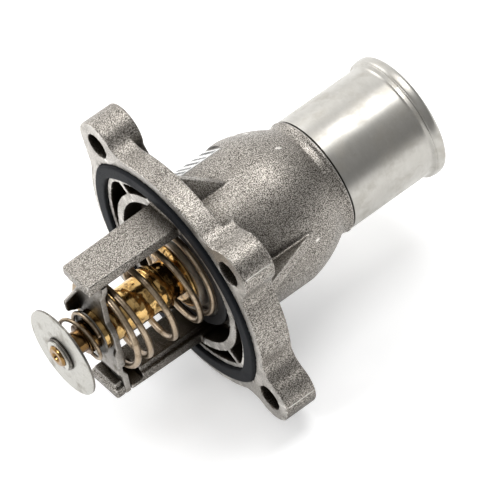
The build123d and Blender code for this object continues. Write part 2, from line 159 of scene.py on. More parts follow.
def makeFloor(spec):
    mesh = bpy.data.meshes.new("paleFloor")
    half = spec["floorSize"] / 2
    low = cadBox[0][2] - spec["floorDrop"]
    mesh.from_pydata([(-half, -half, low), (half, -half, low), (half, half, low), (-half, half, low)],
                     [], [(0, 1, 2, 3)])
    floor = bpy.data.objects.new("paleFloor", mesh)
    bpy.context.collection.objects.link(floor)
    return floor


floor = makeFloor(studio)
print("camera, studio and floor made")


def newGroup(name, inputs, outputs):
    tree = bpy.data.node_groups.new(name, "ShaderNodeTree")
    for title, value in inputs:
        socket = tree.interface.new_socket(name=title, in_out="INPUT", socket_type="NodeSocketFloat")
        socket.default_value = value
    for title in outputs:
        tree.interface.new_socket(name=title, in_out="OUTPUT", socket_type="NodeSocketFloat")
    start = tree.nodes.new("NodeGroupInput")
    end = tree.nodes.new("NodeGroupOutput")
    return tree, start, end


def mathNode(tree, operation, first, second):
    node = tree.nodes.new("ShaderNodeMath")
    node.operation = operation
    for socket, value in zip(node.inputs, (first, second)):
        if isinstance(value, (int, float)):
            socket.default_value = value
        else:
            link(tree, value, socket)
    return node.outputs[0]


def rangeNode(tree, value, fromLow, fromHigh, toLow=0.0, toHigh=1.0):
    node = tree.nodes.new("ShaderNodeMapRange")
    for socket, given in zip(node.inputs, (value, fromLow, fromHigh, toLow, toHigh)):
        if isinstance(given, (int, float)):
            socket.default_value = given
        else:
            link(tree, given, socket)
    return node.outputs[0]


def noiseNode(tree, vector, scale, detail=2.0, roughness=0.5):
    node = tree.nodes.new("ShaderNodeTexNoise")
    node.inputs["Detail"].default_value = detail
    node.inputs["Roughness"].default_value = roughness
    link(tree, vector, node.inputs["Vector"])
    if isinstance(scale, (int, float)):
        node.inputs["Scale"].default_value = scale
    else:
        link(tree, scale, node.inputs["Scale"])
    return node.outputs[0]


grainMix = {"coarseTimes": 3.5, "coarseShare": 0.25, "driftScale": 90.0}
patchScales = {"wear": 700.0, "blotch": 160.0}      # features in a metre
smudgeEdge = 0.18                                   # how softly a smudge ends


def makeGrainGroup():
    # Grit of a sand mould, blasted: pits, bright flecks and slow drifts of tone.
    tree, start, end = newGroup("grain", [("Grain Size", 0.3), ("Contrast", 1.0)],
                                ["Height", "Fleck", "Drift"])
    coords = tree.nodes.new("ShaderNodeTexCoord").outputs["Object"]
    fine = mathNode(tree, "DIVIDE", 1000.0, start.outputs["Grain Size"])
    coarse = mathNode(tree, "DIVIDE", fine, grainMix["coarseTimes"])
    small = noiseNode(tree, coords, fine, 2.0, 0.6)
    large = noiseNode(tree, coords, coarse, 2.0, 0.6)
    drift = noiseNode(tree, coords, grainMix["driftScale"], 3.0, 0.55)
    height = mathNode(tree, "ADD", small, mathNode(tree, "MULTIPLY", large, grainMix["coarseShare"]))
    spread = mathNode(tree, "MULTIPLY", mathNode(tree, "SUBTRACT", small, 0.5), start.outputs["Contrast"])
    link(tree, height, end.inputs["Height"])
    link(tree, mathNode(tree, "ADD", spread, 0.5), end.inputs["Fleck"])
    link(tree, rangeNode(tree, drift, 0.35, 0.65), end.inputs["Drift"])
    return tree


def makeEdgeGroup():
    # Edges that handling and tumbling have worn bright, with a painted highlight along them.
    tree, start, end = newGroup("edgeWearAndHighlight", [("From", 0.52), ("To", 0.6), ("Break Up", 0.4)], ["Mask"])
    coords = tree.nodes.new("ShaderNodeTexCoord").outputs["Object"]
    pointed = tree.nodes.new("ShaderNodeNewGeometry").outputs["Pointiness"]
    mask = rangeNode(tree, pointed, start.outputs["From"], start.outputs["To"])
    patches = rangeNode(tree, noiseNode(tree, coords, patchScales["wear"]), 0.3, 0.7)
    kept = mathNode(tree, "SUBTRACT", 1.0,
                    mathNode(tree, "MULTIPLY", start.outputs["Break Up"], patches))
    link(tree, mathNode(tree, "MULTIPLY", mask, kept), end.inputs["Mask"])
    return tree


def makeLinesGroup():
    # Fine lines left round the outlet's axis by a lathe or a polishing belt.
    tree, start, end = newGroup("turnedLines", [("Line Width", 0.15), ("Wander", 0.02)],
                                ["Height", "Tone"])
    coords = tree.nodes.new("ShaderNodeTexCoord").outputs["Object"]
    stretch = tree.nodes.new("ShaderNodeCombineXYZ")
    along = mathNode(tree, "DIVIDE", 1000.0, start.outputs["Line Width"])
    across = mathNode(tree, "MULTIPLY", along, start.outputs["Wander"])
    link(tree, along, stretch.inputs[0])
    link(tree, across, stretch.inputs[1])
    link(tree, across, stretch.inputs[2])
    scaled = tree.nodes.new("ShaderNodeVectorMath")
    scaled.operation = "MULTIPLY"
    link(tree, coords, scaled.inputs[0])
    link(tree, stretch.outputs[0], scaled.inputs[1])
    lines = noiseNode(tree, scaled.outputs[0], 1.0, 3.0, 0.65)
    blotch = noiseNode(tree, coords, patchScales["blotch"], 3.0, 0.6)
    link(tree, lines, end.inputs["Height"])
    link(tree, mathNode(tree, "ADD", mathNode(tree, "MULTIPLY", lines, 0.5),
                        mathNode(tree, "MULTIPLY", blotch, 0.5)), end.inputs["Tone"])
    return tree


def makeSmudgeGroup():
    # Handling marks, oil film and dust in soft patches.
    tree, start, end = newGroup("smudge", [("Patch Size", 4.0), ("Coverage", 0.5)], ["Mask"])
    coords = tree.nodes.new("ShaderNodeTexCoord").outputs["Object"]
    scale = mathNode(tree, "DIVIDE", 1000.0, start.outputs["Patch Size"])
    patches = noiseNode(tree, coords, scale, 4.0, 0.65)
    low = mathNode(tree, "SUBTRACT", 0.75, mathNode(tree, "MULTIPLY", start.outputs["Coverage"], 0.5))
    high = mathNode(tree, "ADD", low, smudgeEdge)
    link(tree, rangeNode(tree, patches, low, high), end.inputs["Mask"])
    return tree


def makePaintedShadeGroup():
    # Painted shade where light hardly reaches: the more hidden a point, the higher the mask.
    tree, start, end = newGroup("recess", [("Reach", 10.0), ("From", 0.3), ("To", 0.9)], ["Mask"])
    hidden = tree.nodes.new("ShaderNodeAmbientOcclusion")
    hidden.samples = 6
    link(tree, mathNode(tree, "MULTIPLY", start.outputs["Reach"], mm), hidden.inputs["Distance"])
    link(tree, rangeNode(tree, hidden.outputs["AO"], start.outputs["To"], start.outputs["From"]),
         end.inputs["Mask"])
    return tree


groups = {
    "grain": makeGrainGroup(),
    "recess": makePaintedShadeGroup(),
    "edgeWearAndHighlight": makeEdgeGroup(),
    "turnedLines": makeLinesGroup(),
    "smudge": makeSmudgeGroup(),
}
print("shader groups made:", ", ".join(groups))


def newFinish(name, roughness, metallic, **sockets):
    finish = bpy.data.materials.new(name)
    finish.use_nodes = True
    shader = finish.node_tree.nodes["Principled BSDF"]
    shader.inputs["Roughness"].default_value = roughness
    shader.inputs["Metallic"].default_value = metallic
    for title, value in sockets.items():
        shader.inputs[title.replace("_", " ")].default_value = value
    return finish, finish.node_tree, shader


def useGroup(tree, name, **values):
    node = tree.nodes.new("ShaderNodeGroup")
    node.node_tree = groups[name]
    for title, value in values.items():
        node.inputs[title.replace("_", " ")].default_value = value
    return node.outputs


def mixNode(tree, mask, first, second):
    node = tree.nodes.new("ShaderNodeMix")
    node.data_type = "RGBA"
    link(tree, mask, node.inputs[0])
    for socket, value in ((node.inputs[6], first), (node.inputs[7], second)):
        if isinstance(value, tuple):
            socket.default_value = (*value, 1)
        else:
            link(tree, value, socket)
    return node.outputs[2]


def bumpNode(tree, height, depth, normal=None):
    node = tree.nodes.new("ShaderNodeBump")
    node.inputs["Distance"].default_value = depth * mm
    link(tree, height, node.inputs["Height"])
    if normal:
        link(tree, normal, node.inputs["Normal"])
    return node.outputs["Normal"]


castMetal = {
    "pit": (0.07, 0.062, 0.052), "skin": (0.29, 0.265, 0.235), "fleck": (0.66, 0.62, 0.565),
    "pitRange": (0.1, 0.55), "fleckRange": (0.55, 1.0), "grainSize": 0.23, "contrast": 6.0,
    # The worn-edge colour below also paints a highlight along the edges.
    "wornHighlightEdge": (0.90, 0.87, 0.82), "wearFrom": 0.53, "wearTo": 0.575, "wearBreak": 0.3,
    # Painted shade: a broad one in the hollows, a tight one in the corners.
    "paintedShade": (0.026, 0.021, 0.015), "reach": 24.0, "deepest": 0.38, "openSky": 0.92,
    "cornerPaintedShade": (0.03, 0.022, 0.013), "cornerReach": 9.0, "cornerDeepest": 0.3, "cornerOpen": 0.75,
    "bumpDepth": 0.06, "roughness": 0.42, "roughSwing": 0.06, "metallic": 0.9,
}
# Painted shade in the hollows, on all metals but the casting.
smallPaintedShade = {"From": 0.2, "To": 0.85}      # on all metals but the casting
# Worn edges with a painted highlight, on sheet and wire.
smallWearAndHighlight = {"From": 0.52, "To": 0.62, "Break_Up": 0.5}      # on sheet and wire


def makeCastMetal(spec):
    finish, tree, shader = newFinish("sandCastAluminium", spec["roughness"], spec["metallic"])
    grain = useGroup(tree, "grain", Grain_Size=spec["grainSize"], Contrast=spec["contrast"])
    wear = useGroup(tree, "edgeWearAndHighlight", From=spec["wearFrom"], To=spec["wearTo"], Break_Up=spec["wearBreak"])
    dark = mixNode(tree, rangeNode(tree, grain["Fleck"], *spec["pitRange"]), spec["pit"], spec["skin"])
    bright = mixNode(tree, rangeNode(tree, grain["Fleck"], *spec["fleckRange"]), dark, spec["fleck"])
    # Painted shade, broad in the hollows, then tight in the corners.
    recess = useGroup(tree, "recess", Reach=spec["reach"], From=spec["deepest"], To=spec["openSky"])
    shadedHollows = mixNode(tree, recess["Mask"], bright, spec["paintedShade"])
    corner = useGroup(tree, "recess", Reach=spec["cornerReach"], From=spec["cornerDeepest"],
                      To=spec["cornerOpen"])
    shadePainted = mixNode(tree, corner["Mask"], shadedHollows, spec["cornerPaintedShade"])
    # Worn edges, lit with a painted highlight.
    wornAndLit = mixNode(tree, wear["Mask"], shadePainted, spec["wornHighlightEdge"])
    link(tree, wornAndLit, shader.inputs["Base Color"])
    rough = rangeNode(tree, grain["Drift"], 0.0, 1.0, spec["roughness"] - spec["roughSwing"],
                      spec["roughness"] + spec["roughSwing"])
    link(tree, rough, shader.inputs["Roughness"])
    link(tree, bumpNode(tree, grain["Height"], spec["bumpDepth"]), shader.inputs["Normal"])
    return finish


def makeLinedMetal(name, spec):
    # Turned, belted or drawn metal: fine lines, smudges, painted shade in its hollows, and shallow waves left
    # by forming.
    finish, tree, shader = newFinish(name, spec["roughness"], 1.0)
    lines = useGroup(tree, "turnedLines", Line_Width=spec["lineWidth"], Wander=spec["wander"])
    smudge = useGroup(tree, "smudge", Patch_Size=spec["patch"], Coverage=spec["coverage"])
    tone = mixNode(tree, rangeNode(tree, lines["Tone"], 0.3, 0.7), spec["dark"], spec["light"])
    filmed = mixNode(tree, smudge["Mask"], tone, spec["film"])
    # Painted shade in the hollows.
    recess = useGroup(tree, "recess", Reach=spec["reach"], **smallPaintedShade)
    link(tree, mixNode(tree, recess["Mask"], filmed, spec["paintedDeepShade"]), shader.inputs["Base Color"])
    rough = rangeNode(tree, smudge["Mask"], 0.0, 1.0, spec["roughness"], spec["filmRoughness"])
    link(tree, rough, shader.inputs["Roughness"])
    lined = bumpNode(tree, lines["Height"], spec["bumpDepth"])
    coords = tree.nodes.new("ShaderNodeTexCoord").outputs["Object"]
    dents = noiseNode(tree, coords, 1000.0 / spec["dentSize"], 1.0)
    link(tree, bumpNode(tree, dents, spec["dentDepth"], normal=lined), shader.inputs["Normal"])
    return finish


def makeGrainMetal(name, spec):
    # Stamped or drawn sheet and wire: grained, smudged, with painted shade in its hollows, and worn at its
    # edges with a painted highlight.
    finish, tree, shader = newFinish(name, spec["roughness"], 1.0)
    grain = useGroup(tree, "grain", Grain_Size=spec["grainSize"], Contrast=1.6)
    smudge = useGroup(tree, "smudge", Patch_Size=spec["patch"], Coverage=spec["coverage"])
    wear = useGroup(tree, "edgeWearAndHighlight", **smallWearAndHighlight)
    tone = mixNode(tree, grain["Fleck"], spec["dark"], spec["light"])
    filmed = mixNode(tree, smudge["Mask"], tone, spec["film"])
    # Painted shade in the hollows, then worn edges with a painted highlight.
    recess = useGroup(tree, "recess", Reach=spec["reach"], **smallPaintedShade)
    shadePainted = mixNode(tree, recess["Mask"], filmed, spec["paintedDeepShade"])
    link(tree, mixNode(tree, wear["Mask"], shadePainted, spec["light"]), shader.inputs["Base Color"])
    rough = rangeNode(tree, smudge["Mask"], 0.0, 1.0, spec["roughness"], spec["filmRoughness"])
    link(tree, rough, shader.inputs["Roughness"])
    link(tree, bumpNode(tree, grain["Height"], spec["bumpDepth"]), shader.inputs["Normal"])
    return finish


def makeDull(name, spec):
    # Rubber, wax and paper: no metal, a soft grain and dusty patches.
    finish, tree, shader = newFinish(name, spec["roughness"], 0.0, Specular_IOR_Level=spec["sheen"])
    grain = useGroup(tree, "grain", Grain_Size=spec["grainSize"], Contrast=1.2)
    smudge = useGroup(tree, "smudge", Patch_Size=spec["patch"], Coverage=spec["coverage"])
    tone = mixNode(tree, grain["Fleck"], spec["dark"], spec["light"])
    link(tree, mixNode(tree, smudge["Mask"], tone, spec["film"]), shader.inputs["Base Color"])
    rough = rangeNode(tree, smudge["Mask"], 0.0, 1.0, spec["roughness"], spec["filmRoughness"])
    link(tree, rough, shader.inputs["Roughness"])
    link(tree, bumpNode(tree, grain["Height"], spec["bumpDepth"]), shader.inputs["Normal"])
    return finish


# The deep colour in each finish is painted shade in its hollows.
linedMetals = {
    "satinTubeSteel": {"dark": (0.46, 0.445, 0.41), "light": (0.55, 0.535, 0.50), "film": (0.44, 0.42, 0.38),
                       "paintedDeepShade": (0.10, 0.09, 0.08), "reach": 5.0,
                       "lineWidth": 1.2, "wander": 0.3, "patch": 5.0, "coverage": 0.55,
                       "roughness": 0.32, "filmRoughness": 0.43, "bumpDepth": 0.003,
                       "dentSize": 4.0, "dentDepth": 0.010},
    "polishedBrass": {"dark": (0.56, 0.30, 0.075), "light": (1.0, 0.72, 0.32), "film": (0.10, 0.042, 0.009),
                      "paintedDeepShade": (0.06, 0.026, 0.006), "reach": 8.0,
                      "lineWidth": 0.25, "wander": 0.05, "patch": 2.5, "coverage": 0.5,
                      "roughness": 0.09, "filmRoughness": 0.24, "bumpDepth": 0.004,
                      "dentSize": 2.6, "dentDepth": 0.22},
    "turnedStemBrass": {"dark": (0.14, 0.075, 0.025), "light": (0.42, 0.26, 0.10), "film": (0.08, 0.04, 0.013),
                        "paintedDeepShade": (0.07, 0.03, 0.01), "reach": 6.0,
                        "lineWidth": 0.18, "wander": 0.05, "patch": 2.0, "coverage": 0.4,
                        "roughness": 0.16, "filmRoughness": 0.28, "bumpDepth": 0.004,
                        "dentSize": 2.0, "dentDepth": 0.05},
    "groundPinSteel": {"dark": (0.55, 0.55, 0.55), "light": (0.8, 0.8, 0.8), "film": (0.6, 0.6, 0.58),
                       "paintedDeepShade": (0.15, 0.15, 0.14), "reach": 4.0,
                       "lineWidth": 0.1, "wander": 0.03, "patch": 2.0, "coverage": 0.3,
                       "roughness": 0.2, "filmRoughness": 0.3, "bumpDepth": 0.002,
                       "dentSize": 3.0, "dentDepth": 0.005},
    "drawnCupSteel": {"dark": (0.62, 0.62, 0.61), "light": (0.96, 0.96, 0.95), "film": (0.44, 0.43, 0.41),
                      "paintedDeepShade": (0.5, 0.49, 0.47), "reach": 2.0,
                      "lineWidth": 0.3, "wander": 0.05, "patch": 2.5, "coverage": 0.45,
                      "roughness": 0.3, "filmRoughness": 0.4, "bumpDepth": 0.004,
                      "dentSize": 2.5, "dentDepth": 0.08},
}
# The deep colour in each finish is painted shade in its hollows.
grainMetals = {
    "oiledSpringWire": {"dark": (0.27, 0.205, 0.14), "light": (0.55, 0.44, 0.315),
                        "film": (0.17, 0.12, 0.072), "paintedDeepShade": (0.09, 0.06, 0.036), "reach": 5.0,
                        "grainSize": 0.35, "patch": 2.5, "coverage": 0.5,
                        "roughness": 0.34, "filmRoughness": 0.46, "bumpDepth": 0.012},
    "stampedBridgeSteel": {"dark": (0.25, 0.235, 0.215), "light": (0.54, 0.51, 0.47),
                           "film": (0.20, 0.18, 0.15), "paintedDeepShade": (0.05, 0.044, 0.036), "reach": 14.0,
                           "grainSize": 0.3, "patch": 3.0, "coverage": 0.45,
                           "roughness": 0.40, "filmRoughness": 0.52, "bumpDepth": 0.02},
    "satinDiscSteel": {"dark": (0.37, 0.36, 0.33), "light": (0.55, 0.54, 0.50), "film": (0.27, 0.25, 0.215),
                       "paintedDeepShade": (0.08, 0.075, 0.065), "reach": 6.0,
                       "grainSize": 0.4, "patch": 3.5, "coverage": 0.45,
                       "roughness": 0.36, "filmRoughness": 0.48, "bumpDepth": 0.006},
    "darkWasherSteel": {"dark": (0.10, 0.09, 0.08), "light": (0.30, 0.28, 0.25), "film": (0.08, 0.07, 0.06),
                        "paintedDeepShade": (0.03, 0.027, 0.022), "reach": 4.0,
                        "grainSize": 0.25, "patch": 2.0, "coverage": 0.5,
                        "roughness": 0.38, "filmRoughness": 0.5, "bumpDepth": 0.006},
}
dullStuff = {
    "mouldedGasketRubber": {"dark": (0.0015, 0.002, 0.003), "light": (0.016, 0.018, 0.022),
                            "film": (0.010, 0.012, 0.015), "grainSize": 0.3, "patch": 3.0, "coverage": 0.4,
                            "sheen": 0.10, "roughness": 0.55, "filmRoughness": 0.68, "bumpDepth": 0.05},
    "sealRubber": {"dark": (0.006, 0.006, 0.007), "light": (0.018, 0.018, 0.019),
                   "film": (0.026, 0.025, 0.023), "grainSize": 0.3, "patch": 3.0, "coverage": 0.4,
                   "sheen": 0.2, "roughness": 0.5, "filmRoughness": 0.6, "bumpDepth": 0.01},
    "paleWax": {"dark": (0.72, 0.62, 0.38), "light": (0.86, 0.78, 0.55), "film": (0.66, 0.56, 0.34),
                "grainSize": 0.6, "patch": 3.0, "coverage": 0.4,
                "sheen": 0.5, "roughness": 0.45, "filmRoughness": 0.55, "bumpDepth": 0.02},
    "whiteLabelStock": {"dark": (0.80, 0.80, 0.78), "light": (0.92, 0.92, 0.91), "film": (0.84, 0.83, 0.80),
                        "grainSize": 0.2, "patch": 3.0, "coverage": 0.3,
                        "sheen": 0.4, "roughness": 0.4, "filmRoughness": 0.5, "bumpDepth": 0.004},
    "labelInk": {"dark": (0.01, 0.01, 0.012), "light": (0.03, 0.03, 0.03), "film": (0.04, 0.04, 0.04),
                 "grainSize": 0.2, "patch": 2.0, "coverage": 0.3,
                 "sheen": 0.3, "roughness": 0.5, "filmRoughness": 0.6, "bumpDepth": 0.002},
}
finishes = {"sandCastAluminium": makeCastMetal(castMetal)}
for finishName, finishSpec in linedMetals.items():
    finishes[finishName] = makeLinedMetal(finishName, finishSpec)
for finishName, finishSpec in grainMetals.items():
    finishes[finishName] = makeGrainMetal(finishName, finishSpec)
for finishName, finishSpec in dullStuff.items():
    finishes[finishName] = makeDull(finishName, finishSpec)


def makeFloorSheet(spec):
    # A pale sheet that glows a little, which keeps its shadows light.
    finish, tree, shader = newFinish("paleFloorSheet", spec["floorRoughness"][0], 0.0,
                                     Specular_IOR_Level=spec["floorSheen"],
                                     Emission_Strength=spec["floorGlow"])
    shader.inputs["Base Color"].default_value = spec["floorColour"]
    shader.inputs["Emission Color"].default_value = (1, 1, 1, 1)
    smudge = useGroup(tree, "smudge", Patch_Size=spec["floorPatch"], Coverage=spec["floorCover"])
    rough = rangeNode(tree, smudge["Mask"], 0.0, 1.0, *spec["floorRoughness"])
    link(tree, rough, shader.inputs["Roughness"])
    return finish


finishes["paleFloorSheet"] = makeFloorSheet(studio)
floor.data.materials.append(finishes["paleFloorSheet"])
print("finishes made:", len(finishes))


def place(name, mesh, body, finish, node=None, smooth=True):
    piece = bpy.data.objects.new(name, mesh)
    bpy.context.collection.objects.link(piece)
    if smooth:
        mesh.shade_smooth()
    mesh.materials.clear()
    mesh.materials.append(finishes[finish])
    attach(piece, body)
    if node:
        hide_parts(node)
    return piece


def tidied(name, work):
    bmesh.ops.remove_doubles(work, verts=work.verts, dist=1e-7)
    bmesh.ops.recalc_face_normals(work, faces=work.faces)
    mesh = bpy.data.meshes.new(name)
    work.to_mesh(mesh)
    work.free()
    return mesh


def softened(name, node, voxel, passes, flatAt=None, keep=1.0):
    # A node's own shape, with its edges worn round as sand and tumbling leave them.
    mesh = nodes[node].data.copy()
    work = bmesh.new()
    work.from_mesh(mesh)
    bmesh.ops.remove_doubles(work, verts=work.verts, dist=1e-6)
    work.to_mesh(mesh)
    work.free()
    rough = bpy.data.objects.new(name + "Rough", mesh)
    bpy.context.collection.objects.link(rough)
    remesh = rough.modifiers.new("grid", "REMESH")
    remesh.mode = "VOXEL"
    remesh.voxel_size = voxel * mm
    graph = bpy.context.evaluated_depsgraph_get()
    made = bpy.data.meshes.new_from_object(rough.evaluated_get(graph))
    bpy.data.objects.remove(rough)
    work = bmesh.new()
    work.from_mesh(made)
    machined = [v for v in work.verts if flatAt is not None and abs(v.co.x - flatAt * mm) < voxel * mm / 3]
    for sweep in range(passes):
        bmesh.ops.smooth_vert(work, verts=work.verts, factor=0.5,
                              use_axis_x=True, use_axis_y=True, use_axis_z=True)
        for v in machined:
            v.co.x = flatAt * mm
    work.to_mesh(made)
    work.free()
    if keep < 1:
        dense = bpy.data.objects.new(name + "Dense", made)
        bpy.context.collection.objects.link(dense)
        thinned = dense.modifiers.new("thinned", "DECIMATE")
        thinned.ratio = keep
        made = bpy.data.meshes.new_from_object(dense.evaluated_get(bpy.context.evaluated_depsgraph_get()))
        bpy.data.objects.remove(dense)
    made.name = name
    return made


def roundedProfile(points, radius, steps=3):
    # Rounds the corners of a closed outline of (radius, x) pairs, in mm.
    outline = []
    count = len(points)
    for index, point in enumerate(points):
        here = Vector(point)
        before = Vector(points[index - 1]) - here
        after = Vector(points[(index + 1) % count]) - here
        if here.x == 0 or radius == 0:
            outline.append(here)
            continue
        reach = min(radius, before.length * 0.45, after.length * 0.45)
        first = here + before.normalized() * reach
        last = here + after.normalized() * reach
        for step in range(steps + 1):
            t = step / steps
            outline.append((1 - t) ** 2 * first + 2 * t * (1 - t) * here + t ** 2 * last)
    return outline


def lathe(name, points, radius=0.15, around=128):
    # Turns a closed outline of (radius, x) pairs round the outlet's axis.
    work = bmesh.new()
    outline = roundedProfile(points, radius)
    rings = []
    for step in range(around):
        angle = 2 * math.pi * step / around
        rings.append([work.verts.new((p.y * mm, p.x * math.cos(angle) * mm, p.x * math.sin(angle) * mm))
                      for p in outline])
    for step in range(around):
        ring, other = rings[step], rings[(step + 1) % around]
        for index in range(len(outline)):
            following = (index + 1) % len(outline)
            if outline[index].x == 0 and outline[following].x == 0:
                continue
            work.faces.new((ring[index], ring[following], other[following], other[index]))
    mesh = tidied(name, work)
    work = bmesh.new()
    work.from_mesh(mesh)
    bmesh.ops.dissolve_degenerate(work, dist=1e-8, edges=work.edges)
    work.to_mesh(mesh)
    work.free()
    return mesh


def wireMesh(name, points, wire, sides=20, side=(1, 0, 0)):
    # A round wire along points given in mm, with domed ends.
    work = bmesh.new()
    rings = []
    side = Vector(side)
    count = len(points)
    for index, point in enumerate(points):
        along = (points[min(index + 1, count - 1)] - points[max(index - 1, 0)]).normalized()
        side = (side - along * side.dot(along)).normalized()
        other = along.cross(side)
        rings.append([work.verts.new((point + (side * math.cos(a) + other * math.sin(a)) * wire / 2) * mm)
                      for a in (2 * math.pi * s / sides for s in range(sides))])
    for ring, following in zip(rings, rings[1:]):
        for s in range(sides):
            work.faces.new((ring[s], ring[(s + 1) % sides], following[(s + 1) % sides], following[s]))
    for ring in (rings[0], rings[-1]):
        cap = work.faces.new(ring)
        bmesh.ops.inset_region(work, faces=[cap], thickness=wire * 0.12 * mm, depth=0)
    return tidied(name, work)


mainSpring = {"wire": 1.7, "small": 12.55, "large": 12.55, "start": 1.3, "end": -22.3, "turns": 4.7,
              "startTurn": 198, "dead": 0.5, "ramp": 0.7, "fixed": -23.2, "free": 2.2, "travel": 8.0}
bypassSpring = {"wire": 1.0, "small": 6.1, "large": 6.9, "start": -27.55, "end": -34.75, "turns": 2.6,
                "startTurn": 20, "dead": 0.35, "ramp": 0.4, "fixed": -27.0, "free": -35.3, "travel": 4.0}
clocking = 36.87                         # degrees between the flange's short axis and the upright


def coilPoints(spec, perTurn=64):
    active = spec["turns"] - 2 * spec["dead"] - spec["ramp"]

    def climbed(turn):
        if turn > spec["turns"] / 2:
            return active - climbed(spec["turns"] - turn)
        if turn <= spec["dead"]:
            return 0.0
        if turn < spec["dead"] + spec["ramp"]:
            return (turn - spec["dead"]) ** 2 / (2 * spec["ramp"])
        return turn - spec["dead"] - spec["ramp"] / 2

    rise = spec["end"] - spec["start"]
    hand = 1 if rise > 0 else -1
    steps = round(spec["turns"] * perTurn)
    points = []
    for step in range(steps + 1):
        turn = spec["turns"] * step / steps
        angle = math.radians(spec["startTurn"] + hand * 360 * turn)
        radius = spec["small"] + (spec["large"] - spec["small"]) * turn / spec["turns"]
        u, v = radius * math.cos(angle), radius * math.sin(angle)
        lean = math.radians(clocking)
        points.append(Vector((spec["start"] + rise * climbed(turn) / active,
                              -math.sin(lean) * u - math.cos(lean) * v,
                              math.cos(lean) * u - math.sin(lean) * v)))
    return points


def makeSpring(name, spec, body, node):
    piece = place(name, wireMesh(name, coilPoints(spec), spec["wire"]), body, "oiledSpringWire", node)
    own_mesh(piece)


makeSpring("mainSpringWire", mainSpring, "root", "main_spring")
makeSpring("bypassSpringWire", bypassSpring, "element", "bypass_spring")
print("springs made")

castBody = {"voxel": 0.28, "passes": 1, "faceAt": 0.0, "keep": 0.27, "crisp": 34}
housingMesh = softened("castHousing", "housing", castBody["voxel"], castBody["passes"], castBody["faceAt"],
                       castBody["keep"])
place("castHousing", housingMesh, "root", "sandCastAluminium", "housing")
housingMesh.set_sharp_from_angle(angle=math.radians(castBody["crisp"]))
print("housing made:", len(housingMesh.polygons), "faces")

partingLine = {
    "wire": 0.42, "proud": 0.08, "ear": 6.8, "start": 0.8, "end": 8.9,
    # each ear's bolt, and the direction of its parting line in degrees from +y
    "ears": {"Upper": (25.51, 26.56, 0), "Near": (-24.36, 19.98, 161), "Lower": (-32.42, -20.44, 170),
             "Far": (24.36, -19.98, 0)},
}
for earName, (y, z, direction) in partingLine["ears"].items():
    reach = partingLine["ear"] + partingLine["proud"] - partingLine["wire"] / 2
    y += reach * math.cos(math.radians(direction))
    z += reach * math.sin(math.radians(direction))
    seam = [Vector((partingLine["start"], y, z)), Vector((partingLine["end"], y, z))]
    seamName = "partingLine" + earName
    place(seamName, wireMesh(seamName, seam, partingLine["wire"], side=(0, 1, 0)), "root",
          "sandCastAluminium")

bridgeStrap = {"voxel": 0.22, "passes": 3}
place("bridgeStrap", softened("bridgeStrap", "spring_bridge", bridgeStrap["voxel"], bridgeStrap["passes"]),
      "root", "stampedBridgeSteel", "spring_bridge")
gasketRing = {"voxel": 0.3, "passes": 2}
place("gasketRing", softened("gasketRing", "flange_gasket", gasketRing["voxel"], gasketRing["passes"]),
      "root", "mouldedGasketRubber", "flange_gasket")
print("bridge and gasket made")

tubeSpec = {
    "radius": 16.0, "wall": 1.5, "start": 43.5, "end": 72.9, "gap": 0.35, "gapDepth": 0.55, "bead": 17.2,
    # (how far towards the bead's radius, distance from the end): a long flank, a crease and a flat band
    "roll": ((0.0, 4.7), (0.04, 4.35), (0.18, 4.0), (0.48, 3.68), (0.74, 3.42), (0.86, 3.22), (0.70, 3.02),
             (0.86, 2.82), (0.96, 2.45), (1.0, 1.95), (1.0, 1.3), (0.93, 0.8), (0.7, 0.35), (0.38, 0.1)),
}


def makeTube(spec):
    radius, wall = spec["radius"], spec["wall"]
    outer = [(radius + share * (spec["bead"] - radius), spec["end"] - back) for share, back in spec["roll"]]
    inner = [(r - wall, x) for r, x in outer[::-1]]
    tip = (radius + 0.2, spec["end"])
    shy, gap = radius - spec["gapDepth"], spec["start"] + spec["gap"]
    points = ([(radius - wall, spec["start"]), (shy, spec["start"]), (shy, gap), (radius, gap + 0.15)]
              + outer + [tip, (tip[0] - wall, spec["end"])] + inner)
    return lathe("satinTube", points, 0.1, 192)


place("satinTube", makeTube(tubeSpec), "root", "satinTubeSteel", "outlet_tube")
print("tube made")

element = {
    "cup": 5.6, "skin": 0.7, "cupEnd": -26.5, "collar": 6.4, "collarStart": -8.7, "collarEnd": -5.8,
    "lip": 0.5, "guide": 5.2, "gap": 0.02,
}


def makeCup(s):
    inside, recess = s["cup"] - s["skin"], s["collar"] - s["skin"]
    points = [(0, s["cupEnd"]), (s["cup"], s["cupEnd"]), (s["cup"], s["collarStart"] - 0.8),
              (s["cup"] + 0.25, s["collarStart"]), (s["collar"], s["collarStart"] + 0.3),
              (s["collar"], s["collarEnd"]), (s["guide"] + s["gap"], s["collarEnd"]),
              (s["guide"] + s["gap"], s["collarEnd"] - s["lip"]), (recess, s["collarEnd"] - s["lip"]),
              (recess, s["collarStart"] + 0.05), (inside, s["collarStart"] + 0.05),
              (inside, s["cupEnd"] + s["skin"]), (0, s["cupEnd"] + s["skin"])]
    return lathe("brassCup", points, 0.22)


place("brassCup", makeCup(element), "element", "polishedBrass", "element_cup")

shoulder = {"bore": 4.62, "rim": 9.2, "root": 7.4, "face": -0.62, "front": -1.9, "lip": 0.5}
place("brassShoulder", lathe("brassShoulder", [
    (shoulder["bore"], shoulder["face"]), (shoulder["rim"], shoulder["face"]),
    (shoulder["rim"], shoulder["face"] - shoulder["lip"]), (shoulder["root"], shoulder["front"]),
    (shoulder["bore"] + 0.8, shoulder["front"]), (shoulder["bore"], shoulder["front"] + 0.4)], 0.2),
      "element", "polishedBrass")

